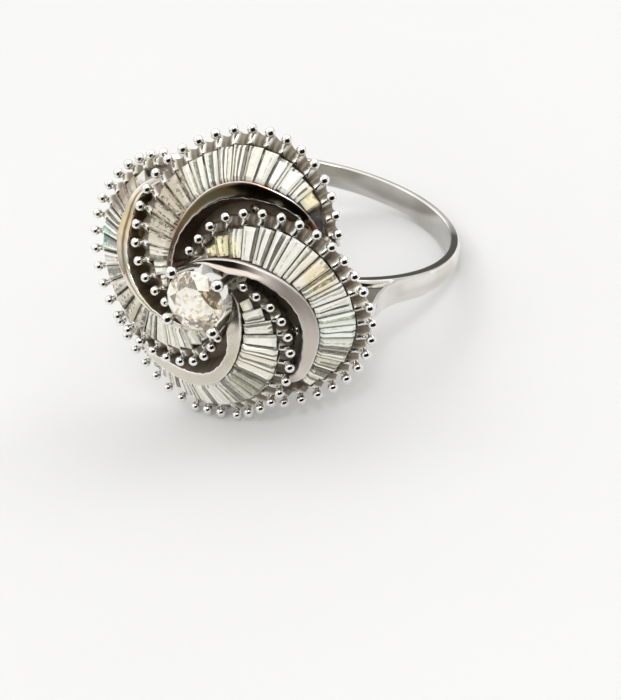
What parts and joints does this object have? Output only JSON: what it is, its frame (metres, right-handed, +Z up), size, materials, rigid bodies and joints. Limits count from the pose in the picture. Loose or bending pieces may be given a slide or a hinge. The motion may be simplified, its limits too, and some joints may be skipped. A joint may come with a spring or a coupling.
{
  "type": "cocktail ring with swirled baguette cluster",
  "caption": "Finger ring with a domed head of overlapping swirled petals, each a fan of tapered baguettes between a polished rail and a row of ball prongs, round a raised brilliant.",
  "frame": {"origin": "on the table, under the middle of the ring's box as it lies on its band and the rim of its head", "axes": "+Z up from the table, +Y from the head's top towards the back of the band, X across the head"},
  "size_m": [0.0188, 0.025, 0.0169],
  "materials": {
    "white_gold": "high polish white gold",
    "centre_diamond": "polished facets",
    "baguette_diamond": "polished step-cut facets"
  },
  "bodies": {
    "root": {"ring_metal": "white_gold", "centre_stone": "centre_diamond", "baguettes_1": "baguette_diamond", "baguettes_2": "baguette_diamond", "baguettes_3": "baguette_diamond", "baguettes_4": "baguette_diamond"}
  },
  "joints": []
}
